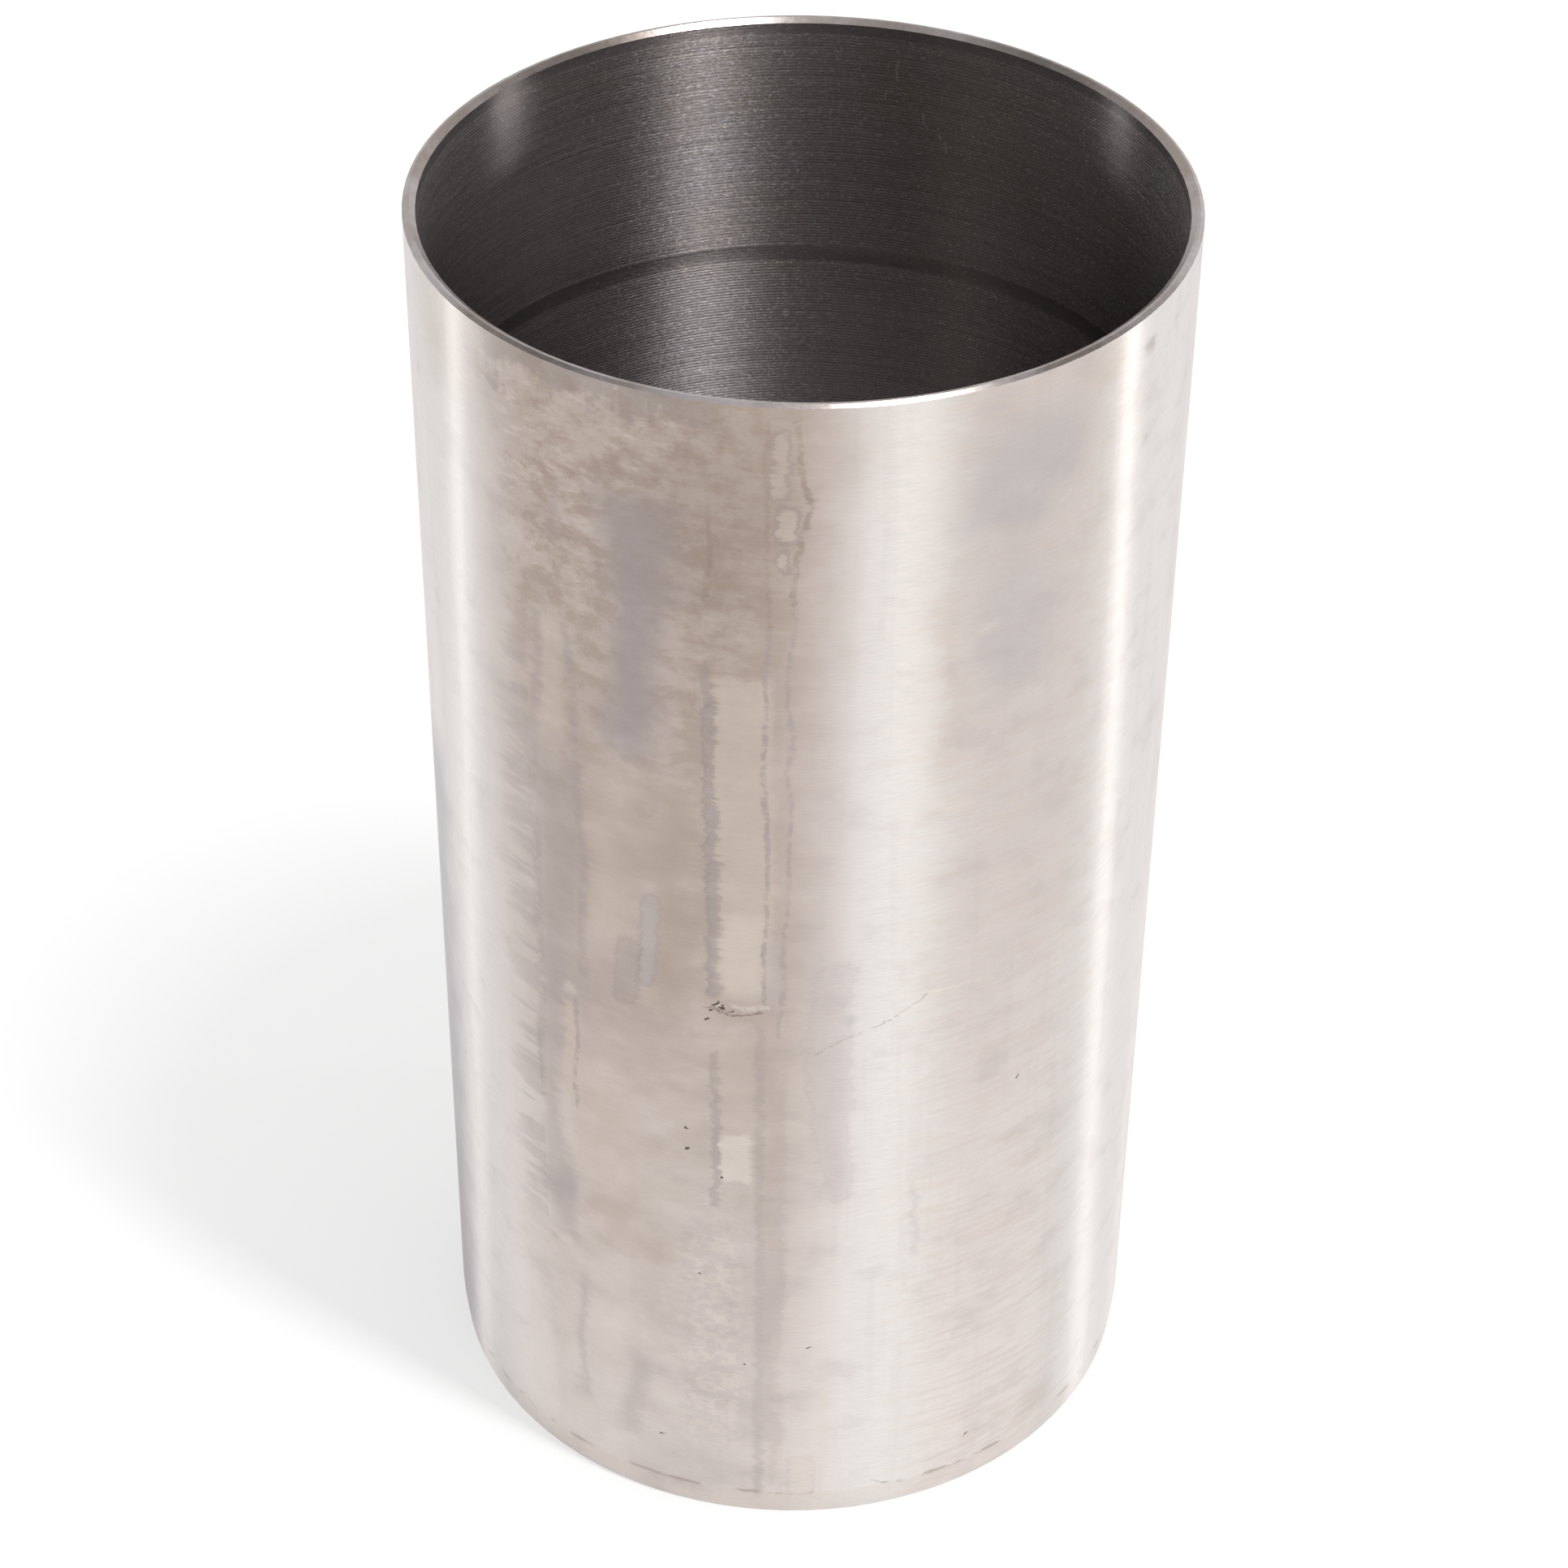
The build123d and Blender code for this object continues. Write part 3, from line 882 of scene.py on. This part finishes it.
def makeTurnedMetal(unroller, strokeGroup):
    f = boreFinish
    colors = f["colors"]
    material, tree, shader = startMaterial("turnedBore")
    across, angle, height, solid = useGroup(tree, unroller, {"Radius": boreRadius / mm})
    cloud, speck, rings, hue = (pattern(tree, solid, f, label) for label in f["patterns"])
    color = tinted(tree, colors["iron"], f, "brown", cloud)
    # painted light on one side of the bore and painted shade at 157 degrees
    color = blend(tree, zone(tree, f, "litSide", angle, height), color, colors["paleSide"])
    color = stainAndShade(tree, color, zone(tree, f, "shadedSide", angle, height), f["shadedSideStrength"], colors["darkSide"])
    # painted glints: pale warm and cool specks over the turned wall
    spark = blend(tree, ramp(tree, hue, *f["sparkHues"]), colors["warmSpark"], colors["coolSpark"])
    color = stainAndShade(tree, color, ramp(tree, speck, *f["sparks"]), f["sparkStrength"], spark)

    # painted shade: the colour is lighter and darker along the grooves, and even and darker in the plain
    # bands
    plain = 0.0
    for middle, half in boreBands():
        off = calc(tree, "ABSOLUTE", calc(tree, "SUBTRACT", height, middle / mm))
        band = ramp(tree, off, half / mm + f["plainSoft"], half / mm - f["plainSoft"])
        plain = calc(tree, "MAXIMUM", plain, band)
    wander = calc(tree, "MULTIPLY", rings, f["grooveWander"])
    radiansPerMm = 2 * math.pi * mm / linerShape["toolPitch"]
    groove = calc(tree, "SINE", calc(tree, "MULTIPLY_ADD", height, radiansPerMm, wander))
    shade = sway(tree, rings, f["ringShade"], sway(tree, speck, f["speckShade"], 1.0))
    shade = calc(tree, "MULTIPLY_ADD", groove, f["grooveShade"], shade)
    shade = calc(tree, "MULTIPLY_ADD", plain, calc(tree, "SUBTRACT", f["plainShade"], shade), shade)
    color = shadeBy(tree, color, shade)

    # dust and stray fibres
    dots = addNode(tree, "ShaderNodeTexVoronoi", {"Vector": solid, "Scale": f["dustPerMm"]},
                   feature="F1", distance="EUCLIDEAN")
    dust = calc(tree, "MULTIPLY", ramp(tree, dots.outputs["Distance"], *f["dustSize"]),
                ramp(tree, cloud, *f["dustPlaces"]))
    for width, run in f["fibres"]:
        fibre = drawRun(tree, strokeGroup, across, height, boreArc, width, run)
        dust = calc(tree, "MAXIMUM", dust, calc(tree, "MULTIPLY", fibre, f["fibreStrength"]))
    color = stainAndShade(tree, color, dust, f["dustStrength"], colors["dust"])

    rough = sway(tree, speck, f["speckRoughness"], f["roughness"])
    rough = calc(tree, "MULTIPLY_ADD", groove, f["grooveRoughness"], rough)
    finishMetal(tree, shader, f, color, calc(tree, "MULTIPLY_ADD", plain, f["plainRoughness"], rough), speck)
    return material


endFinish = {
    "roughness": 0.30,
    "fineRoughness": 0.15,
    "fineShade": 0.4,
    "anisotropy": 0.7,
    "bump": 0.01 * mm,
    "colors": {
        "steel": (0.72, 0.67, 0.665, 1),
        "brown": (0.50, 0.43, 0.39, 1),
        "nick": (0.12, 0.10, 0.095, 1),
    },
    "patterns": {
        "cloud": ((0, 0, 0), (0.05, 0.05), 4.0, 0.6),
        "fine": ((0, 40, 0), (1.4, 3.0), 3.0, 0.65),
        "nicks": ((70, 0, 0), (0.8, 0.8), 2.0, 0.5),
    },
    "tints": {
        "brown": (0.40, 0.62, 1.0, "brown"),
        "nicks": (0.70, 0.80, 0.25, "nick"),
    },
}


def makeEndMetal(unroller):
    f = endFinish
    material, tree, shader = startMaterial("endFaces")
    solid = useGroup(tree, unroller, {})["Millimetres"]
    cloud, fine, nicks = (pattern(tree, solid, f, label) for label in f["patterns"])
    color = tinted(tree, f["colors"]["steel"], f, "brown", cloud)
    color = tinted(tree, color, f, "nicks", nicks)
    color = shadeBy(tree, color, sway(tree, fine, f["fineShade"], 1.0))
    finishMetal(tree, shader, f, color, sway(tree, fine, f["fineRoughness"], f["roughness"]), fine)
    return material


# floor, light and camera

studio = {
    "floorReach": 3.0,
    "floorColor": (0.92, 0.92, 0.92, 1),
    "floorGlow": 0.55,            # share of plain white that a camera or mirror ray sees in the floor
    # the sky as mirror rays see it: the direction's part where a shade starts and is full, the shade at each
    "ceiling": (-0.02, 0.5, 1.0, 0.2),
    "leftShade": (-0.6, 0.6, 0.42, 1.0),
    "backGlow": (0.1, 0.7, 0.0, 0.6),
    "sideGlow": (0.5, 0.9, 0.0, 0.42),
    "zenithGlow": (0.8, 0.93, 0.0, 0.55),
    "worldFill": 0.8,             # what the sky gives the object
    "sideDistance": 1.2,
    "leftAzimuth": -105.0,        # degrees from -Y towards +X
    "rightAzimuth": 97.0,
    "sideHeight": 0.285,
    "sideSize": (0.08, 0.21),
    "leftPower": 0.98,
    "rightPower": 1.65,
    "topAzimuth": 51.0,
    "topElevation": 68.0,
    "topDistance": 1.1,
    "topSize": (0.08, 0.30),
    "topPower": 7.2,
}


def makeFloor():
    mesh = bpy.data.meshes.new("floor")
    reach = studio["floorReach"]
    mesh.from_pydata([(-reach, -reach, 0), (reach, -reach, 0), (reach, reach, 0), (-reach, reach, 0)],
                     [], [(0, 1, 2, 3)])
    floor = bpy.data.objects.new("floor", mesh)
    scene.collection.objects.link(floor)
    material = bpy.data.materials.new("paleFloor")
    material.use_nodes = True
    tree = material.node_tree
    tree.nodes.clear()
    paper = addNode(tree, "ShaderNodeBsdfDiffuse", {"Color": studio["floorColor"]})
    glow = addNode(tree, "ShaderNodeEmission", {"Strength": 1.0})
    path = addNode(tree, "ShaderNodeLightPath").outputs
    seen = chain(tree, "MAXIMUM", (path["Is Camera Ray"], path["Is Glossy Ray"], path["Is Transmission Ray"]))
    mix = addNode(tree, "ShaderNodeMixShader", {
        0: calc(tree, "MULTIPLY", seen, studio["floorGlow"]), 1: paper.outputs[0], 2: glow.outputs[0]})
    addNode(tree, "ShaderNodeOutputMaterial", {0: mix.outputs[0]})
    floor.data.materials.append(material)


def makeWorld():
    world = bpy.data.worlds.new("studio")
    world.use_nodes = True
    tree = world.node_tree
    tree.nodes.clear()
    # the camera sees white all round, mirror rays see white that greys towards the ceiling
    path = addNode(tree, "ShaderNodeLightPath").outputs
    toRight, toBack, up = parts(tree, addNode(tree, "ShaderNodeTexCoord").outputs["Generated"])
    room = calc(tree, "MULTIPLY", ramp(tree, up, *studio["ceiling"]),
                ramp(tree, toRight, *studio["leftShade"]))
    sideways = calc(tree, "ABSOLUTE", toRight)
    for towards, glow in ((toBack, "backGlow"), (sideways, "sideGlow"), (up, "zenithGlow")):
        room = calc(tree, "MAXIMUM", room, ramp(tree, towards, *studio[glow]))
    mirror = calc(tree, "MAXIMUM", path["Is Glossy Ray"], path["Is Transmission Ray"])
    fill = studio["worldFill"]
    strength = calc(tree, "MULTIPLY_ADD", mirror, calc(tree, "SUBTRACT", room, fill), fill)
    strength = calc(tree, "MAXIMUM", strength, path["Is Camera Ray"])
    sky = addNode(tree, "ShaderNodeBackground", {"Color": (1, 1, 1, 1), "Strength": strength})
    addNode(tree, "ShaderNodeOutputWorld", {0: sky.outputs[0]})
    scene.world = world


def placeRound(azimuth, elevation, distance, centre):
    a, e = math.radians(azimuth), math.radians(elevation)
    return centre + distance * Vector((math.sin(a) * math.cos(e), -math.cos(a) * math.cos(e), math.sin(e)))


def addLamp(name, place, size, power, aim):
    data = bpy.data.lights.new(name, "AREA")
    data.shape = "RECTANGLE"
    data.size, data.size_y = size
    data.energy = power
    lamp = bpy.data.objects.new(name, data)
    lamp.location = place
    lamp.rotation_euler = (aim - place).to_track_quat("-Z", "Y").to_euler()
    scene.collection.objects.link(lamp)


def lightStudio():
    middle = Vector((0, 0, linerHeight / 2))
    for side in ("left", "right"):
        place = placeRound(studio[side + "Azimuth"], 0.0, studio["sideDistance"],
                           Vector((0, 0, studio["sideHeight"])))
        addLamp(side + "Strip", place, studio["sideSize"], studio[side + "Power"], middle)
    place = placeRound(studio["topAzimuth"], studio["topElevation"], studio["topDistance"], middle)
    addLamp("topBox", place, studio["topSize"], studio["topPower"], middle)


cameraPlace = {
    "location": (0.0, -0.38426, 0.37910),
    "lens": 88.59,
    "sensor": 36.0,
    "down": 37.48,     # degrees below the horizon
    "left": 0.22,      # degrees turned left of +Y
    "roll": 0.61,
    "clip": (0.01, 20.0),
}


def makeCamera():
    c = cameraPlace
    data = bpy.data.cameras.new("camera")
    data.sensor_width = c["sensor"]
    data.lens = c["lens"]
    data.clip_start, data.clip_end = c["clip"]
    camera = bpy.data.objects.new("camera", data)
    camera.matrix_world = (
        Matrix.Translation(Vector(c["location"]))
        @ Matrix.Rotation(math.radians(c["left"]), 4, "Z")
        @ Matrix.Rotation(math.radians(90 - c["down"]), 4, "X")
        @ Matrix.Rotation(math.radians(c["roll"]), 4, "Z")
    )
    scene.collection.objects.link(camera)
    scene.camera = camera


scene.view_settings.view_transform = "Standard"
makeCamera()
makeFloor()
makeWorld()
lightStudio()
print("studio ready")

unroller, patchGroup, strokeGroup = makeUnroller(), makePatchGroup(), makeStrokeGroup()
groundMetals = [
    makeGroundMetal(unroller, patchGroup, strokeGroup, *sector) for sector in wallFinish["sectors"]
]
turnedMetal = makeTurnedMetal(unroller, strokeGroup)
endMetal = makeEndMetal(unroller)
print("finishes ready:", len(groundMetals) + 2, "materials")

liner = makeLiner(groundMetals, turnedMetal, endMetal)
openEdges = turnOutAndCount(liner.data)
layUvMap(liner.data)
print("liner turned:", len(liner.data.polygons), "faces,", openEdges, "open edges")

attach(liner, "root")
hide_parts("cylinder_liner")
